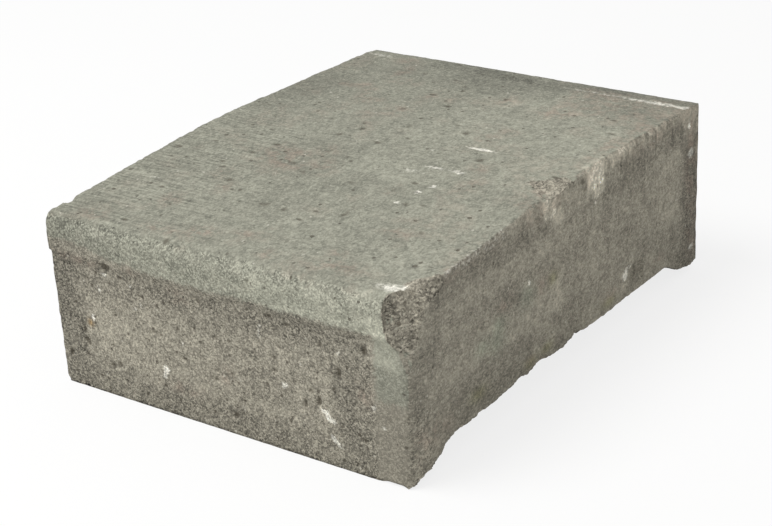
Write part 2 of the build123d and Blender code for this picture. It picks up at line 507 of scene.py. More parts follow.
TOP_TONES = [
    (-40, 6, 90, 98, 5, -0.90),
    (-22, 24, 78, 94, 4, -0.50),
    (6, 44, 90, 101, 4, -0.50),
    (-48, 72, 76, 101, 10, -0.30),
    (-66, -10, 76, 84, 6, -0.20),
    (-77, -54, -101, 101, 16, -0.25),
    (-77, -62, 18, 62, 6, -0.45),
    (-77, -48, 36, 86, 12, -0.20),
    (-77, -70, -50, 101, 5, -0.15),
    (-8, 12, 74, 82, 6, -0.15),
    (4, 16, -38, -29, 4, -0.50),
    (0, 26, -23, -16, 4, 0.45),
    (56, 77, -26, -14, 4, -0.40),
    (46, 64, -98, -86, 4, -0.50),
    (59, 69, -101, -94.5, 2, 0.95),
    (-14, 6, -66, -46, 5, -0.30),
    (-36, 6, 46, 74, 6, -0.25),
    (14, 34, 66, 84, 5, 0.35),
    (-66, -50, -74, -56, 5, 0.30),
    (4, 56, -85, 8, 16, 0.10),
    (30, 46, 56, 80, 8, 0.18),
    (58, 77, -12, 12, 6, 0.60),
    (64, 77, 24, 52, 5, 0.40),
    (56, 77, -101, -24, 9, 0.25),
    (56, 77, -101, -84, 5, 0.25),
    (6, 66, 18, 62, 10, 0.40),
    (-34, -8, -36, -8, 5, -0.35),
    (-70, -30, -62, -46, 6, -0.15),
]


def smooth(value, low, high):
    """0 below low, 1 above high, and a soft S between them."""
    t = np.clip((value - low) / (high - low), 0, 1)
    return t * t * (3 - 2 * t)


def window(value, low, high, soft):
    """1 between low and high, falling to 0 over soft outside them."""
    return smooth(value, low - soft, low) * (1 - smooth(value, high, high + soft))


def between(a, b, share):
    """a where share is 0, b where it is 1."""
    return a + (b - a) * share


TURN = np.array(Matrix.Rotation(0.7, 3, Vector((1, 2, 3))))
TABLE_SIZE = 64


def value_noise(points, size, seed, stretch=None):
    """Smooth noise from 0 to 1 with lumps of about that size, one number a point."""
    if stretch is None:
        q = points @ TURN / size
    else:
        q = points / (size * np.array(stretch))
    table = np.random.default_rng(seed).random((TABLE_SIZE,) * 3)
    cell = np.floor(q).astype(int)
    f = q - cell
    f = f * f * (3 - 2 * f)
    total = np.zeros(len(points))
    for corner in np.ndindex(2, 2, 2):
        weight = np.prod(np.where(corner, f, 1 - f), axis=1)
        i, j, k = ((cell + corner) % TABLE_SIZE).T
        total += weight * table[i, j, k]
    return total


def rough_noise(points, size, seed, octaves=3, stretch=None):
    """Several layers of noise, each half the size of the last, about 0, mostly in -1 to 1."""
    total = np.zeros(len(points))
    for n in range(octaves):
        layer = value_noise(points, size / 2**n, seed + n, stretch)
        total += (layer - 0.5) * 2 / 2**n
    return total


def cell_noise(points, size, seed):
    """Distance, in sizes, to the nearest of scattered points, and that point's own number."""
    rng = np.random.default_rng(seed)
    spots = rng.random((TABLE_SIZE,) * 3 + (3,))
    numbers = rng.random((TABLE_SIZE,) * 3)
    q = points @ TURN / size
    cell = np.floor(q).astype(int)
    best = np.full(len(points), 9.0)
    number = np.zeros(len(points))
    for step in np.ndindex(3, 3, 3):
        c = cell + np.array(step) - 1
        i, j, k = (c % TABLE_SIZE).T
        distance = np.linalg.norm(c + spots[i, j, k] - q, axis=1)
        nearer = distance < best
        best = np.where(nearer, distance, best)
        number = np.where(nearer, numbers[i, j, k], number)
    return best, number


def box_grid(cell):
    """Points on the surface of a unit box, from 0 to 1 each way, and the quads between them."""
    spans = (2 * HALF_WIDTH, 2 * HALF_LENGTH, RIDGE_HEIGHT)
    counts = np.array([round(s / cell) for s in spans])
    shell = np.zeros(counts + 1, bool)
    shell[[0, -1], :, :] = True
    shell[:, [0, -1], :] = True
    shell[:, :, [0, -1]] = True
    index = np.zeros(counts + 1, int)
    index[shell] = np.arange(shell.sum())
    quads = []
    for axis in range(3):
        for end in (0, -1):
            sheet = np.take(index, end, axis=axis)
            quad = np.stack([sheet[:-1, :-1], sheet[1:, :-1], sheet[1:, 1:], sheet[:-1, 1:]], -1)
            quad = quad.reshape(-1, 4)
            inside_out = (end == 0) != (axis == 1)
            quads.append(quad[:, ::-1] if inside_out else quad)
    return np.argwhere(shell) / counts, np.concatenate(quads)


def top_height(y):
    """Height of the crowned top: two slopes that meet in a soft ridge, and the back fall."""
    front_rise = (RIDGE_HEIGHT - FRONT_HEIGHT) / (HALF_LENGTH + RIDGE_PLACE)
    back_rise = (RIDGE_HEIGHT - BACK_HEIGHT) / (HALF_LENGTH - RIDGE_PLACE)
    a = RIDGE_HEIGHT + front_rise * (y - RIDGE_PLACE)
    b = RIDGE_HEIGHT - back_rise * (y - RIDGE_PLACE)
    crown = (a + b - np.sqrt((a - b) ** 2 + RIDGE_SOFTNESS**2)) / 2
    return crown - BACK_FALL * np.clip((y - HALF_LENGTH + BACK_FALL_WIDTH) / BACK_FALL_WIDTH, 0, 1)


def round_edge(a, b, radius):
    """Bends a square edge into an arc. a and b are the distances in from its two faces."""
    near = (a < radius) & (b < radius)
    u = np.where(near, radius - a, 1.0)
    v = np.where(near, radius - b, 1.0)
    scale = np.maximum(u, v) / np.hypot(u, v)
    return np.where(near, radius - u * scale, a), np.where(near, radius - v * scale, b)


def cut_edge(a, b, cut_a, cut_b, extra):
    """Cuts a square edge off along the chord between cut_a and cut_b, deeper by extra.
    Returns the new distances in from the two faces."""
    cut_a = np.maximum(cut_a, LEAST_CUT)
    cut_b = np.maximum(cut_b, LEAST_CUT)
    length = np.hypot(cut_a, cut_b)
    na, nb = cut_b / length, cut_a / length
    depth = cut_a * cut_b / length + extra - (a * na + b * nb)
    move = np.maximum(depth, 0)
    return a + move * na, b + move * nb


def arched_break(inward, upward, depth, height, ragged):
    """Breaks a square edge away in an arch, from a height on the side to a depth on the underside.
    ragged is a share of the arch. Returns the new distances in from the two faces."""
    u, v = inward / depth, upward / height
    place = np.clip(u - v, -1, 1)
    reach = np.sqrt(2 - place**2) + ragged * np.minimum(3 * (place + 1), 1)
    step = np.maximum(reach - u - v, 0) / 2
    return inward + step * depth, upward + step * height


def along(stations, y):
    """The two sizes of a list of stations at each place along the length."""
    places, first, second = np.array(stations, float).T
    return np.interp(y, places, first), np.interp(y, places, second)


def facing(x, y, z):
    """A direction of length one."""
    normal = np.array([x, y, z])
    return normal / np.linalg.norm(normal)


SPALL_FACE = (facing(0.725, -0.613, 0.315), (70.0, -99.5, 56.0))
SPALL_WALL = (facing(0.98, 0.0, 0.12), (68.9, -99.5, 60.0))
SPALL_HEART = np.array([73.0, -94.5, 62.0])
SPALL_HOLLOW = 0.5


def past(plane, p):
    """How far each point lies beyond a plane."""
    normal, place = plane
    return (p - np.array(place)) @ normal


def spalled(p):
    """Breaks off the near right top corner beside a steep wall. Returns the points and the move."""
    ragged = 0.30 * rough_noise(p, 5.0, 501) + 0.35 * rough_noise(p, 1.6, 504, 2)
    away = np.linalg.norm(p - SPALL_HEART, axis=1) / 5.5
    beyond = past(SPALL_FACE, p) + SPALL_HOLLOW * np.exp(-(away**2)) + ragged
    move = np.clip(np.minimum(beyond, 1.7 * past(SPALL_WALL, p) + ragged), 0, None)
    return p - SPALL_FACE[0] * move[:, None], move


def on_spall(p):
    """1 on the broken face of the spall, 0 off it."""
    return smooth(spalled(p + SPALL_FACE[0])[1], 0.2, 0.9) * smooth(p[:, 2], 46, 53)


def on_chips(p):
    """1 on the chips of the right top arris, beside the spall and near mid length."""
    x, y, z = p.T
    across, down = along(RIGHT_ARRIS, y)
    place = (HALF_WIDTH - x) / across + (top_height(y) - z) / down
    return smooth(1.6 - place, 0, 0.4) * (window(y, -91, -79, 1.5) + window(y, -13, 2, 3))


def torn_faces(p):
    """1 where the cast skin is broken away at the top, 0 elsewhere."""
    return np.maximum(on_spall(p), on_chips(p))


def stone_points(places):
    """The stone's surface in millimetres, worn and broken, before its fine relief."""
    x = (places[:, 0] * 2 - 1) * HALF_WIDTH
    y = (places[:, 1] * 2 - 1) * HALF_LENGTH
    z = places[:, 2] * top_height(y)
    p = np.stack([x, y, z], 1)
    wobble = rough_noise(p, 6.0, 11)
    fine = rough_noise(p, 2.2, 17, 2)

    # The front face stands back under the band
    foot = BAND_FOOT + 0.9 * rough_noise(p, 9.0, 27, 3) * smooth(x, -76, -66)
    soft = 1.2 + 2.2 * smooth(x, -74, -50)
    setback = BAND_PROUD * (1 - smooth(z, foot - soft, foot + 0.4))
    y = y + setback * np.clip((-HALF_LENGTH + 5 - y) / 5, 0, 1)

    # Worn and broken edges
    top_in = top_height(y) - z
    for side, stations in ((1, RIGHT_ARRIS), (-1, LEFT_ARRIS)):
        across, down = along(stations, y)
        across, down = across + 0.3 * wobble, down + 0.3 * wobble
        side_in, top_in = cut_edge(HALF_WIDTH - side * x, top_in, across, down, 0.22 * fine)
        x = side * (HALF_WIDTH - side_in)
    z = top_height(y) - top_in
    height, depth = along(BROKEN_EDGE, y)
    depth = np.maximum(depth + 1.5 * wobble, 1)
    height = np.maximum(height + 0.2 * fine, 0.4)
    ragged = 0.04 + 0.10 * wobble + 0.04 * fine
    side_in, z = arched_break(HALF_WIDTH - x, z, depth, height, ragged)
    x = HALF_WIDTH - side_in

    # The upright edges and the front roll
    near_right = between(NEAR_RIGHT_FOOT_RADIUS, NEAR_RIGHT_RADIUS, smooth(z, 1, 9))
    near_left = between(NEAR_LEFT_FOOT_RADIUS, NEAR_LEFT_RADIUS, smooth(z, 0.3, 2.4))
    plan_radius = np.where(x > 0, near_right, near_left)
    plan_radius = np.where(y < 0, plan_radius, FAR_RADIUS) * (1 + 0.3 * wobble)
    side_in = HALF_WIDTH - np.abs(x)
    front_in = y - np.where(z < BAND_FOOT, FRONT_FACE, -HALF_LENGTH)
    end_in = np.where(y > 0, HALF_LENGTH - y, np.maximum(front_in, 0))
    new_side, new_end = round_edge(side_in, end_in, plan_radius)
    x = np.sign(x) * (HALF_WIDTH - new_side)
    y = y + np.where(y > 0, end_in - new_end, new_end - end_in)
    roll = between(ROLL_RADIUS_LEFT, ROLL_RADIUS, smooth(x, -75, -50))
    roll += 0.7 * rough_noise(p, 14.0, 23)
    new_front, new_top = round_edge(y + HALF_LENGTH, top_height(y) - z, roll)
    z = top_height(y) - new_top
    y = new_front - HALF_LENGTH
    foot_radius = between(FOOT_RADIUS, FOOT_RADIUS_RIGHT, window(x, 67, 72, 4))
    in_front = np.maximum(y - FRONT_FACE, 0)
    new_front, new_foot = round_edge(in_front, z, np.where(y < 0, foot_radius, 0.0))
    y = y + new_front - in_front
    z = new_foot
    return spalled(np.stack([x, y, z], 1))[0]


def mesh_of(name, points, faces):
    """A mesh from arrays of points and quads."""
    mesh = bpy.data.meshes.new(name)
    mesh.vertices.add(len(points))
    mesh.vertices.foreach_set("co", points.astype(np.float32).ravel())
    mesh.loops.add(faces.size)
    mesh.loops.foreach_set("vertex_index", faces.astype(np.int32).ravel())
    mesh.polygons.add(len(faces))
    mesh.polygons.foreach_set("loop_start", np.arange(0, faces.size, 4, dtype=np.int32))
    mesh.update(calc_edges=True)
    mesh.validate()
    return mesh


def read_points(mesh):
    values = np.empty(len(mesh.vertices) * 3, np.float32)
    mesh.vertices.foreach_get("co", values)
    return values.reshape(-1, 3).astype(float)


def read_normals(mesh):
    values = np.empty(len(mesh.vertices) * 3, np.float32)
    mesh.vertices.foreach_get("normal", values)
    return values.reshape(-1, 3).astype(float)


def faces_of(p, normal):
    """How much each point belongs to each face. Plain is what faces left, back or down."""
    up, ahead, aside = normal[:, 2], -normal[:, 1], normal[:, 0]
    top = smooth(up, 0.5, 0.8)
    front = smooth(ahead, 0.5, 0.8)
    right = smooth(aside, 0.5, 0.8)
    in_band = smooth(p[:, 2], BAND_FOOT, BAND_FOOT + 0.8)
    return {
        "top": top,
        "band": front * in_band,
        "front": front * (1 - in_band),
        "right": right,
        "under": smooth(-up, 0.5, 0.8),
        "plain": 1 - np.clip(top + front + right, 0, 1),
    }


def by_face(on, amounts):
    """At each point, an amount that is given face by face."""
    return sum(amount * on[face] for face, amount in amounts.items())


def relief(p, normal):
    """Height of the cast surface over the plain one in millimetres, all of it inwards."""
    on = faces_of(p, normal)
    x, y, z = p.T
    torn = torn_faces(p)
    height = 0.12 * rough_noise(p, 28.0, 31, 2) + 0.10 * rough_noise(p, 7.0, 37, 2)
    height += (0.05 + by_face(on, FINE_RELIEF)) * rough_noise(p, 2.4, 41, 2)
    height += torn * (0.20 * rough_noise(p, 1.0, 43, 2, stretch=(1.1, 2.6, 1.1)) - 0.10)
    height += torn * 0.14 * rough_noise(p, 1.3, 45, 2)

    # Trowel lines run across the top, strongest along its left edge near the front
    lines = rough_noise(p, 1.0, 47, 2, stretch=(16, 1.3, 16))
    lined = 0.35 + 0.65 * smooth(-x, 5, 60) * smooth(-y, -40, 30)
    height += 0.13 * lines * lined * on["top"]

    # Drag lines run down the right side from its arris
    drags = rough_noise(p, 1.0, 53, 2, stretch=(11, 1.2, 11))
    height += 0.20 * drags * smooth(z, 48, 66) * on["right"]

    # Scattered pits, many and coarse on the front, few on the top
    share = by_face(on, PIT_SHARE)
    for spacing, seed, depth in PITS:
        distance, number = cell_noise(p, spacing, seed)
        radius = 0.14 + 0.18 * ((number * 7.3) % 1)
        height -= depth * smooth(radius - distance, 0, 0.14) * (number < share)
    centre, radius, depth = DIMPLE
    distance = np.linalg.norm(p - np.array(centre), axis=1)
    height -= depth * np.sqrt(np.clip(1 - (distance / radius) ** 2, 0, 1))
    height += 0.5 * np.clip(spots_on(TOP_SPOTS, x, y), -1, 0) * on["top"]
    height += 1.1 * np.clip(spots_on(FRONT_SPOTS, x, z), -1, 0) * on["front"]
    height -= SINK
    inward = (height - np.sqrt(height**2 + SINK**2)) / 2
    return inward * (1 - np.clip(on["under"], 0, 1))


def fewer_triangles(obj, limit):
    """Triangulates the mesh and collapses it to the limit, finest where it is most uneven."""
    count = 2 * len(obj.data.polygons)
    if count > limit:
        reduce = obj.modifiers.new("fewer", "DECIMATE")
        reduce.ratio = limit / count
        graph = bpy.context.evaluated_depsgraph_get()
        made = bpy.data.meshes.new_from_object(obj.evaluated_get(graph))
        obj.modifiers.clear()
        obj.data = made


def set_attribute(mesh, name, values):
    attribute = mesh.attributes.new(name, "FLOAT", "POINT")
    attribute.data.foreach_set("value", values.astype(np.float32))


def spots_on(marks, a, b):
    """Sum of soft marks on a face. At its reach a mark has 0.37 of its strength."""
    total = np.zeros(len(a))
    for mark in marks:
        a_place, b_place, a_reach, b_reach = mark[:4]
        strength = mark[4] if len(mark) > 4 else 1.0
        far = ((a - a_place) / a_reach) ** 2 + ((b - b_place) / b_reach) ** 2
        total += strength * np.exp(-far)
    return total


def patches_on(patches, a, b):
    """Sum of soft rectangles on a face, each with its own strength."""
    total = np.zeros(len(a))
    for a_low, a_high, b_low, b_high, soft, strength in patches:
        total += strength * window(a, a_low, a_high, soft) * window(b, b_low, b_high, soft)
    return total


def paint_skin(mesh, p, on):
    """Signed distance into the greenish skin: the top, the band and the strip by the near edge."""
    x, y, z = p.T
    strip = np.where(on["front"] > 0.3, np.minimum(x - STRIP_EDGE, 0.5 * (z - 30)), -3.0)
    skin_foot = BAND_FOOT + 0.3 + 5.0 * (1 - smooth(x, -66, -34))
    on_front = np.maximum(z - skin_foot, strip)
    at_arris = (y > HALF_LENGTH - 3) | (x < 3 - HALF_WIDTH)
    near_arris = np.where(at_arris, 4.0 + z - FRONT_HEIGHT, -3.0)
    beyond = np.where(on["top"] > 0.3, 3.0, near_arris)
    skin = np.where(y < -HALF_LENGTH + 4, on_front, beyond)
    skin = np.where(on["right"] > 0.6, -3.0, skin)
    set_attribute(mesh, "skin", np.clip(skin, -3, 3))


def paint_tone(mesh, p, on, torn, bloom):
    """How much lighter or darker each place is than its face: patches of dirt, random blotches and
    bloom, with painted light on the band and painted shade along the front's foot, low on the faces
    turned away and at the spall's inner wall.
    """
    x, y, z = p.T
    wide = rough_noise(p, 14.0, 83, 3)
    front = patches_on(FRONT_TONES, x + 3 * wide, z + 2.0 * wide) + 0.12
    # The front is painted darker in its lowest millimetre: painted shadow where it meets the floor.
    front -= 1.0 * (1 - smooth(z, 0.5, 1.4))

    right = patches_on(RIGHT_TONES, y + 3 * wide, z + 1.5 * wide) + 0.38
    right -= 0.30 * window(z + 2 * wide + 0.55 * (y - 38), 35, 44, 4) * window(y, 30, 84, 6)

    top = patches_on(TOP_TONES, x + 3 * wide, y + 4 * wide)
    top -= 0.8 * smooth(y - BACK_LINE, 1.5, 3.0) * smooth(x, 10, 50)

    # The band is painted lighter than the front, more so towards the right and, on its right half,
    # low down: painted light where the roll turns up towards the lamp. It is darker towards its
    # left end, most of all low there.
    band = 0.50 * smooth(x, -50, 30) - 0.45 * (1 - smooth(x, -77, -52)) + 0.35
    band += 0.40 * smooth(x, 12, 30) * (1 - smooth(z, 58, 63))
    band -= 0.45 * (1 - smooth(x, -70, -36)) * (1 - smooth(z, 54, 60))
    band += patches_on(BAND_TONES, x + 2 * wide, z + wide)
    tone = front * on["front"] + right * on["right"] + top * on["top"] + band * on["band"]
    # Torn faces are lighter, less so where they face up. Inwards of about 71 mm across they are
    # painted darker, the painted shadow of the spall's steep inner wall.
    tone += torn * (0.50 - 0.3 * on["top"] - 1.0 * (1 - smooth(x, 70.0, 71.2))) + 0.10 * wide
    tone += torn * 0.9 * window(y, -92, -84, 2) * smooth(z, 62, 65)
    tone -= torn * 1.5 * (1 - smooth(z, 52, 60))
    tone -= torn * 1.6 * smooth(x, 72.0, 74.0) * (1 - smooth(y, -91, -87)) * smooth(z, 56, 60)
    # On the faces turned left, back or down: random blotches, and painted shade that grows towards
    # the floor over the lowest 9 mm or so.
    blotches_and_floor_shade = 0.6 * rough_noise(p, 34.0, 85, 3) - 0.4 * (1 - smooth(z + 5 * wide, 0, 9))
    set_attribute(mesh, "tone", tone + bloom + blotches_and_floor_shade * on["plain"])


def arris_strokes(p):
    """Soft pale and dark strokes that hang from the far half of the right top arris."""
    x, y, z = p.T
    depth = top_height(y) - z
    stroke = value_noise(p, 1.0, 95, stretch=(9, 1.0, 10)) + 0.35 * (value_noise(p, 2.0, 97) - 0.5)
    reach = 2.5 + 6.0 * value_noise(p, 1.0, 99, stretch=(50, 5, 50))
    zone = smooth(reach - depth, -1.5, 3) * smooth(x, 74, 76) * window(y, 26, 74, 8)
    return zone * (2.1 * smooth(stroke, 0.45, 0.72) - 0.5 * (1 - smooth(stroke, 0.28, 0.45)))


def at_front(y):
    """1 on the front end, 0 behind it."""
    return smooth(-y, HALF_LENGTH - 6, HALF_LENGTH - 4)


def paint_marks(mesh, p, on, bloom, wide):
    """Single pale marks and pits, the pale line at the back, the right top arris worn pale, and a
    dark line along the foot of the front that is painted shadow.
    """
    x, y, z = p.T
    near = at_front(y)
    spots = spots_on(TOP_SPOTS, x, y) * on["top"]
    spots += spots_on(FRONT_SPOTS, x, z) * near * (1 - on["top"]) * (1 - on["right"])
    spots += spots_on(RIGHT_SPOTS, y, z) * smooth(x, 72, 74)
    line_width = 1.1 + 0.8 * smooth(x, 35, 60)
    line = np.exp(-(((y - BACK_LINE) / line_width) ** 2)) * smooth(x, 2, 34) * on["top"]
    spots += (0.55 + 0.35 * smooth(x, 45, 60)) * line
    # A dark line along the foot of the front, painted shadow where it meets the floor.
    spots -= 0.5 * (1 - smooth(z, 0.5, 1.2)) * near * (0.7 + 0.6 * wide)
    spots += 0.42 * window(x, 76.1, 80, 0.5) * smooth(z, 65, 66) * window(y, -76, -42, 6)
    spots += 0.10 * np.clip(bloom, 0, 5)
    set_attribute(mesh, "pale", np.clip(spots, 0, 2))
    set_attribute(mesh, "dark_marks_and_foot_shadow", np.clip(-spots, 0, 2))


def paint_stains(mesh, p, on, torn, wide):
    """Rust-coloured, mossy, green and ochre stains."""
    x, y, z = p.T
    near = at_front(y)
    rust = spots_on(TOP_RUST, x, y) * on["top"] + spots_on(FRONT_RUST, x, z) * near
    rust += spots_on(RIGHT_RUST, y, z) * on["right"]
    far_corner = window(x + 5 * wide, 32, 78, 8) * window(y + 5 * wide, 62, 92, 8)
    rust += 0.7 * far_corner * on["top"]
    rust += 0.6 * window(x, 71, 80, 2) * smooth(z, 62, 66) * (0.5 + wide) * (1 - torn)
    rust += 0.35 * smooth(wide, 0.15, 0.6) * on["top"]
    set_attribute(mesh, "rust", np.clip(rust, 0, 1))
    for name, marks in (("moss", RIGHT_MOSS), ("green", RIGHT_GREEN)):
        set_attribute(mesh, name, np.clip(spots_on(marks, y, z) * on["right"], 0, 1))
    set_attribute(mesh, "ochre", np.clip(spots_on(FRONT_OCHRE, x, z) * near, 0, 1))


def paint_grain(mesh, p, on, torn):
    """How coarse and how rough the grain is, and where the trowel and drag lines run."""
    x, y, z = p.T
    in_strip = on["front"] * smooth(x, STRIP_EDGE - 1, STRIP_EDGE)
    near_foot = (1 - smooth(y, -92, -84)) * (1 - smooth(z, 22, 34)) * on["right"]
    coarse = by_face(on, COARSE) + 0.80 * torn - 0.3 * in_strip + 0.25 * near_foot
    set_attribute(mesh, "coarse", coarse)
    rough = by_face(on, ROUGH) + 0.15 * torn - 0.75 * in_strip + 0.3 * near_foot
    set_attribute(mesh, "rough", rough)
    far = 0.5 + 0.7 * smooth(y, -10, 20)
    set_attribute(mesh, "drag", far * (0.25 + smooth(z, 48, 66)) * smooth(x, 70, 76))
    lined = 0.55 + 1.3 * smooth(-x, -5, 55) * smooth(-y, -30, 30)
    set_attribute(mesh, "lined", lined * on["top"])


def paint_zones(mesh):
    """Stores where the skin, stains, marks and grain lie, for the material to read."""
    p = read_points(mesh)
    on = faces_of(p, read_normals(mesh))
    x, y, z = p.T
    torn = torn_faces(p)
    wide = rough_noise(p, 16.0, 83, 3)
    bloom = patches_on(RIGHT_BLOOM, y + 1.2 * wide, z + 1.2 * wide) * smooth(x, 73, 75)
    bloom = (bloom + arris_strokes(p)) * (1 - 0.5 * on["top"])
    under_edge = smooth(12.5 - z, 0, 2.5) * smooth(x, 60, 66) * smooth(y, -92, -84)
    set_attribute(mesh, "broken", np.clip(torn + under_edge * (1 - on["right"]), 0, 1))
    paint_skin(mesh, p, on)
    paint_tone(mesh, p, on, torn, bloom)
    paint_marks(mesh, p, on, bloom, wide)
    paint_stains(mesh, p, on, torn, wide)
    paint_grain(mesh, p, on, torn)


def build_stone():
    places, quads = box_grid(CELL)
    points = stone_points(places)
    base = mesh_of("plain", points, quads)
    normal = read_normals(base)
    points = points + normal * relief(points, normal)[:, None]
    low = np.array(cad_low) / MM
    high = np.array(cad_high) / MM
    points = np.clip(points, low, high)
    base.vertices.foreach_set("co", points.astype(np.float32).ravel())
    base.update()
    stone = bpy.data.objects.new("paving_stone_cast", base)
    bpy.context.scene.collection.objects.link(stone)
    fewer_triangles(stone, TRIANGLE_LIMIT)
    stone.data.name = "paving_stone_cast"
    points = np.clip(read_points(stone.data), low, high)
    stone.data.vertices.foreach_set("co", points.astype(np.float32).ravel())
    paint_zones(stone.data)
    stone.data.transform(Matrix.Scale(MM, 4))
    stone.data.shade_smooth()
    return stone


class Nodes:
    """Short calls for building a material's nodes. Sizes are in millimetres."""

    def __init__(self, material):
        material.use_nodes = True
        self.tree = material.node_tree
        self.shader = self.tree.nodes["Principled BSDF"]
        place = self.add("ShaderNodeTexCoord").outputs["Object"]
        scaled = self.add("ShaderNodeVectorMath", operation="SCALE")
        self.tree.links.new(place, scaled.inputs[0])
        scaled.inputs["Scale"].default_value = 1 / MM
        self.place = scaled.outputs[0]

    def add(self, kind, **settings):
        node = self.tree.nodes.new(kind)
        for key, value in settings.items():
            setattr(node, key, value)
        return node

    def put(self, value, socket):
        if isinstance(value, bpy.types.NodeSocket):
            self.tree.links.new(value, socket)
        else:
            socket.default_value = value

    def maths(self, operation, a, b=0.0):
        node = self.add("ShaderNodeMath", operation=operation)
        self.put(a, node.inputs[0])
        self.put(b, node.inputs[1])
        return node.outputs[0]

    def plus(self, *values):
        total = values[0]
        for value in values[1:]:
            total = self.maths("ADD", total, value)
        return total

    def times(self, *values):
        total = values[0]
        for value in values[1:]:
            total = self.maths("MULTIPLY", total, value)
        return total

    def span(self, value, low, high, start=0.0, end=1.0):
        """A soft step: start at low and end at high."""
        node = self.add("ShaderNodeMapRange", interpolation_type="SMOOTHSTEP")
        self.put(value, node.inputs["Value"])
        self.put(low, node.inputs["From Min"])
        self.put(high, node.inputs["From Max"])
        self.put(start, node.inputs["To Min"])
        self.put(end, node.inputs["To Max"])
        return node.outputs["Result"]

    def placed(self, size, stretch, shift):
        """The place divided by the size of the pattern, and moved so that no two patterns match."""
        node = self.add("ShaderNodeVectorMath", operation="MULTIPLY_ADD")
        self.put(self.place, node.inputs[0])
        node.inputs[1].default_value = [1 / (size * s) for s in stretch]
        node.inputs[2].default_value = (shift, 1.7 * shift, -2.3 * shift)
        return node.outputs[0]

    def noise(self, size, detail=2.0, rough=0.5, stretch=(1, 1, 1), shift=0.0):
        node = self.add("ShaderNodeTexNoise")
        self.put(self.placed(size, stretch, shift), node.inputs["Vector"])
        node.inputs["Scale"].default_value = 1
        node.inputs["Detail"].default_value = detail
        node.inputs["Roughness"].default_value = rough
        return node.outputs["Fac"]

    def cells(self, size, shift=0.0, stretch=(1, 1, 1)):
        """Distance to the nearest grain's middle, in sizes, and two numbers of that grain's own."""
        node = self.add("ShaderNodeTexVoronoi", feature="F1")
        self.put(self.placed(size, stretch, shift), node.inputs["Vector"])
        node.inputs["Scale"].default_value = 1
        split = self.add("ShaderNodeSeparateColor")
        self.put(node.outputs["Color"], split.inputs[0])
        return node.outputs["Distance"], split.outputs[0], split.outputs[1]

    def attribute(self, name):
        return self.add("ShaderNodeAttribute", attribute_name=name).outputs["Fac"]

    def mix(self, share, a, b, kind="MIX"):
        node = self.add("ShaderNodeMix", data_type="RGBA", blend_type=kind)
        self.put(share, node.inputs["Factor"])
        self.put(a, node.inputs["A"])
        self.put(b, node.inputs["B"])
        return node.outputs["Result"]


def colour(screen):
    """A colour given as it looks on a screen, as the renderer wants it."""
    linear = [((c / 255 + 0.055) / 1.055) ** 2.4 for c in screen]
    return (*linear, 1.0)


# Sizes of the material's patterns, millimetres
SAND_SIZE = 0.48
GRIT_SIZE = 0.92
PASTE_SIZE = 1.1
RAGGED_SIZE = 1.7
BLOTCH_SIZE = 4.6
PIT_SPACING = 3.1
DASH_SPACING = 8.0

# The shade of a grain is a random number to this power, which makes few of them pale
SHADE_POWER = 1.6
MEAN_SHADE = 0.385

# Colours of the concrete and of what lies on it, as they look on a screen, 0 to 255
BODY = (155, 150, 136)
SKIN = (149, 149, 135)
BLOTCH = (150, 146, 133)
RUST = (146, 131, 118)
GREEN = (138, 148, 130)
MOSS = (128, 127, 84)
OCHRE = (158, 130, 86)
TORN = (132, 125, 112)
LIME = (232, 229, 217)
LIGHT_GRAIN = (208, 204, 190)
# The pit colour also paints the shadow line along the front's foot.
PIT_AND_FOOT_SHADOW = (84, 78, 66)


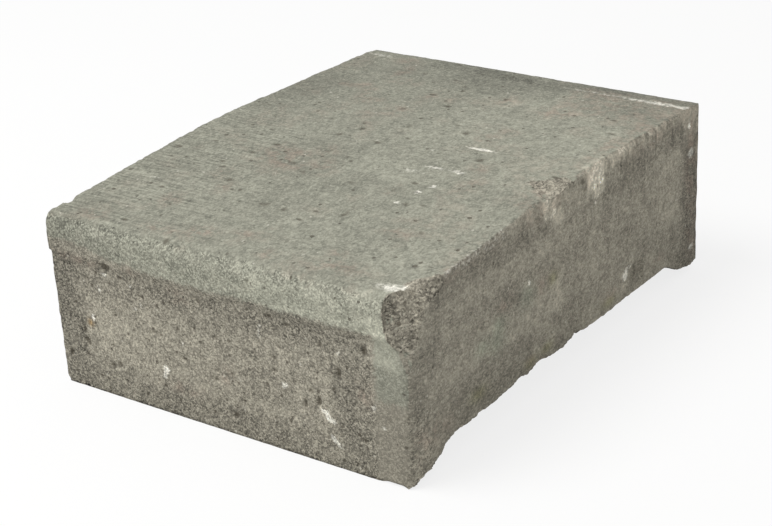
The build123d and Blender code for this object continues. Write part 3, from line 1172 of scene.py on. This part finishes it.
def concrete_material():
    material = bpy.data.materials.new("cast_concrete")
    n = Nodes(material)
    coarse = n.attribute("coarse")
    broken = n.attribute("broken")
    blotch = n.plus(n.noise(BLOTCH_SIZE, 4.0, 0.65, shift=2.0), -0.5)
    ragged = n.plus(n.noise(RAGGED_SIZE, 2.0, 0.6, shift=5.0), -0.5)
    paste = n.plus(n.noise(PASTE_SIZE, 3.0, 0.75, stretch=(1, 1.4, 1)), -0.5)

    # Grain: sand and grit, each grain with its own shade, and paste between
    rough = n.attribute("rough")
    sand_shade = n.maths("POWER", n.cells(SAND_SIZE, stretch=(1, 1.5, 1))[1], SHADE_POWER)
    grit_shade = n.maths("POWER", n.cells(GRIT_SIZE, 3.0, (1, 1.4, 1))[1], SHADE_POWER)
    grain = n.plus(
        n.times(n.plus(sand_shade, -MEAN_SHADE), n.span(coarse, 0.2, 1.0, 0.30, 1.15)),
        n.times(n.plus(grit_shade, -MEAN_SHADE), rough, 0.30),
        n.times(paste, n.plus(n.times(rough, 0.65), n.times(broken, 0.75))),
    )

    # Skin or body, split by a ragged line
    edge = n.plus(n.attribute("skin"), n.times(ragged, 4.0), n.times(blotch, 3.0))
    skin = n.times(n.span(edge, -1.0, 1.0), n.span(broken, 0.3, 0.6, 1.0, 0.0))
    shade = n.mix(skin, colour(BODY), colour(SKIN))
    shade = n.mix(n.span(blotch, -0.06, 0.14, 0.0, 0.16), shade, colour(BLOTCH))

    # Stains
    rust = n.times(n.attribute("rust"), n.span(n.plus(blotch, n.times(ragged, 0.4)), -0.14, 0.14))
    shade = n.mix(n.times(rust, 0.6), shade, colour(RUST))
    for name, share, stain in (("green", 0.4, GREEN), ("moss", 0.45, MOSS), ("ochre", 0.8, OCHRE)):
        shade = n.mix(n.times(n.attribute(name), share), shade, colour(stain))
    shade = n.mix(n.times(broken, 0.2), shade, colour(TORN))

    # Lines of the trowel and of the mould
    trowel = n.plus(n.noise(1.0, 3.0, 0.7, stretch=(15, 1.1, 15), shift=19.0), -0.5)
    drag = n.plus(n.noise(1.0, 3.0, 0.7, stretch=(12, 1.0, 9), shift=23.0), -0.5)
    lines = n.plus(n.times(trowel, n.attribute("lined")), n.times(drag, n.attribute("drag")))

    # Pits and light grains share one scatter, and one number says which each is
    reach, pick, size = n.cells(PIT_SPACING, 11.0)
    reach = n.plus(reach, n.times(ragged, 0.35))
    rim = n.plus(n.times(size, 0.17), 0.04)
    pit_share = n.span(coarse, 0.2, 1.0, 0.17, 0.26)
    is_pit = n.span(pick, pit_share, n.plus(pit_share, 0.02), 1.0, 0.0)
    pits_and_foot_shadow = n.times(n.span(n.plus(reach, n.times(rim, -1.0)), 0.0, 0.07, 1.0, 0.0), is_pit)
    is_speck = n.span(pick, 0.86, 0.88)
    speck = n.times(n.span(n.plus(reach, n.times(rim, -0.6)), 0.0, 0.08, 1.0, 0.0), is_speck)
    torn = n.plus(n.times(ragged, 1.6), n.times(paste, 0.8))
    dark_marks_and_foot_shadow = n.span(n.plus(n.times(n.attribute("dark_marks_and_foot_shadow"), 1.6), torn), 0.45, 1.25)
    dash_reach, dash_pick, dash_size = n.cells(DASH_SPACING, 31.0, (1.9, 1, 1))
    dash_rim = n.plus(n.times(dash_size, 0.08), n.times(torn, 0.06), 0.01)
    dash = n.span(n.plus(dash_reach, n.times(dash_rim, -1.0)), -0.01, 0.07, 1.0, 0.0)
    dash = n.times(dash, n.span(dash_pick, 0.5, 0.52), n.span(n.attribute("lined"), 0.1, 0.3))
    # The dark marks include a painted shadow line along the foot of the front.
    pits_and_foot_shadow = n.maths("MAXIMUM", pits_and_foot_shadow, n.maths("MAXIMUM", dark_marks_and_foot_shadow, dash))
    pale = n.span(n.plus(n.attribute("pale"), n.times(torn, 0.8)), 0.30, 1.0)

    # Dirt, bloom and the painted light and shade, uneven in strength, and the colours put together
    uneven = n.span(n.plus(blotch, n.times(ragged, 0.6)), -0.2, 0.2, 0.45, 0.85)
    tone = n.times(n.attribute("tone"), uneven)
    mottle = n.times(n.plus(n.times(blotch, 0.95), n.times(ragged, 0.40)), rough)
    light = n.plus(1.0, grain, n.times(lines, 0.8), n.times(tone, 0.36), mottle)
    shade = n.mix(n.times(pale, 0.85), shade, colour(LIME))
    grey = n.add("ShaderNodeCombineColor")
    for name in ("Red", "Green", "Blue"):
        n.put(light, grey.inputs[name])
    shade = n.mix(1.0, shade, grey.outputs[0], "MULTIPLY")
    shade = n.mix(n.times(speck, 0.72), shade, colour(LIGHT_GRAIN))
    shade = n.mix(n.times(pits_and_foot_shadow, 0.66), shade, colour(PIT_AND_FOOT_SHADOW))
    n.put(shade, n.shader.inputs["Base Color"])

    # Fine relief
    height = n.plus(
        n.times(grain, n.span(coarse, 0.0, 1.0, 0.16, 0.30)),
        n.times(lines, 0.22),
        n.times(pits_and_foot_shadow, -0.30),
        n.times(pale, 0.05),
    )
    bump = n.add("ShaderNodeBump")
    bump.inputs["Distance"].default_value = MM
    bump.inputs["Strength"].default_value = 1.0
    n.put(height, bump.inputs["Height"])
    n.put(bump.outputs[0], n.shader.inputs["Normal"])
    n.put(n.span(paste, -0.2, 0.2, 0.86, 0.98), n.shader.inputs["Roughness"])
    n.shader.inputs["Specular IOR Level"].default_value = 0.25
    return material


# Camera of the photograph
CAMERA_PLACE = Vector((0.37053, -0.50371, 0.30411))
CAMERA_AIM = Vector((0.01192, -0.02014, 0.035))
CAMERA_ROLL = math.radians(-3.103)
CAMERA_LENS = 84.45
SENSOR_WIDTH = 36

# Studio light, and how the floor and the sky show to the camera
LAMP_PLACE = Vector((-0.45, -0.55, 1.25))
LAMP_AIM = Vector((0, 0, 0.03))
LAMP_SIZE = 0.9
LAMP_POWER = 14.0
SKY_LIGHT = 0.5
SKY_SHOWN = 1.0
FLOOR_REACH = 3.0
FLOOR_COLOUR = (0.78, 0.78, 0.77, 1)
FLOOR_GLOW = 1.05
FLOOR_GLOW_SHARE = 0.76


def add_camera():
    camera = bpy.data.objects.new("camera", bpy.data.cameras.new("camera"))
    bpy.context.scene.collection.objects.link(camera)
    camera.data.lens = CAMERA_LENS
    camera.data.sensor_width = SENSOR_WIDTH
    camera.data.clip_start = 0.01
    view = (CAMERA_AIM - CAMERA_PLACE).to_track_quat("-Z", "Y").to_matrix().to_4x4()
    roll = Matrix.Rotation(CAMERA_ROLL, 4, "Z")
    camera.matrix_world = Matrix.Translation(CAMERA_PLACE) @ view @ roll
    bpy.context.scene.camera = camera


def add_light():
    """A wide soft key from above the front left."""
    light = bpy.data.lights.new("key", "AREA")
    light.shape = "DISK"
    light.size = LAMP_SIZE
    light.energy = LAMP_POWER
    lamp = bpy.data.objects.new("key", light)
    lamp.location = LAMP_PLACE
    lamp.rotation_mode = "QUATERNION"
    lamp.rotation_quaternion = (LAMP_AIM - LAMP_PLACE).to_track_quat("-Z", "Y")
    bpy.context.scene.collection.objects.link(lamp)


def add_world():
    """An even pale sky that shows as white."""
    world = bpy.data.worlds.new("studio")
    bpy.context.scene.world = world
    world.use_nodes = True
    tree = world.node_tree
    seen = tree.nodes.new("ShaderNodeLightPath")
    shown = tree.nodes.new("ShaderNodeMath")
    shown.operation = "MAXIMUM"
    tree.links.new(seen.outputs["Is Camera Ray"], shown.inputs[0])
    tree.links.new(seen.outputs["Is Glossy Ray"], shown.inputs[1])
    strength = tree.nodes.new("ShaderNodeMapRange")
    tree.links.new(shown.outputs[0], strength.inputs["Value"])
    strength.inputs["To Min"].default_value = SKY_LIGHT
    strength.inputs["To Max"].default_value = SKY_SHOWN
    back = tree.nodes["Background"]
    back.inputs["Color"].default_value = (1, 1, 1, 1)
    tree.links.new(strength.outputs[0], back.inputs["Strength"])


def add_floor():
    """A pale floor that shows as nearly white and keeps the stone's soft shadow."""
    mesh = bpy.data.meshes.new("floor")
    sides = ((-1, -1), (1, -1), (1, 1), (-1, 1))
    corners = [(x * FLOOR_REACH, y * FLOOR_REACH, 0) for x, y in sides]
    mesh.from_pydata(corners, [], [(0, 1, 2, 3)])
    floor = bpy.data.objects.new("floor", mesh)
    bpy.context.scene.collection.objects.link(floor)
    material = bpy.data.materials.new("floor")
    material.use_nodes = True
    tree = material.node_tree
    matt = tree.nodes["Principled BSDF"]
    matt.inputs["Base Color"].default_value = FLOOR_COLOUR
    matt.inputs["Roughness"].default_value = 1.0
    matt.inputs["Specular IOR Level"].default_value = 0.0
    glow = tree.nodes.new("ShaderNodeEmission")
    glow.inputs["Strength"].default_value = FLOOR_GLOW
    seen = tree.nodes.new("ShaderNodeLightPath")
    share = tree.nodes.new("ShaderNodeMath")
    share.operation = "MULTIPLY"
    share.inputs[1].default_value = FLOOR_GLOW_SHARE
    tree.links.new(seen.outputs["Is Camera Ray"], share.inputs[0])
    blend = tree.nodes.new("ShaderNodeMixShader")
    tree.links.new(share.outputs[0], blend.inputs[0])
    tree.links.new(matt.outputs[0], blend.inputs[1])
    tree.links.new(glow.outputs[0], blend.inputs[2])
    tree.links.new(blend.outputs[0], tree.nodes["Material Output"].inputs["Surface"])
    mesh.materials.append(material)


stone = build_stone()
stone.data.materials.append(concrete_material())
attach(stone, "root")
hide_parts("paving_stone")

add_camera()
add_light()
add_world()
add_floor()
bpy.context.scene.view_settings.view_transform = "Standard"
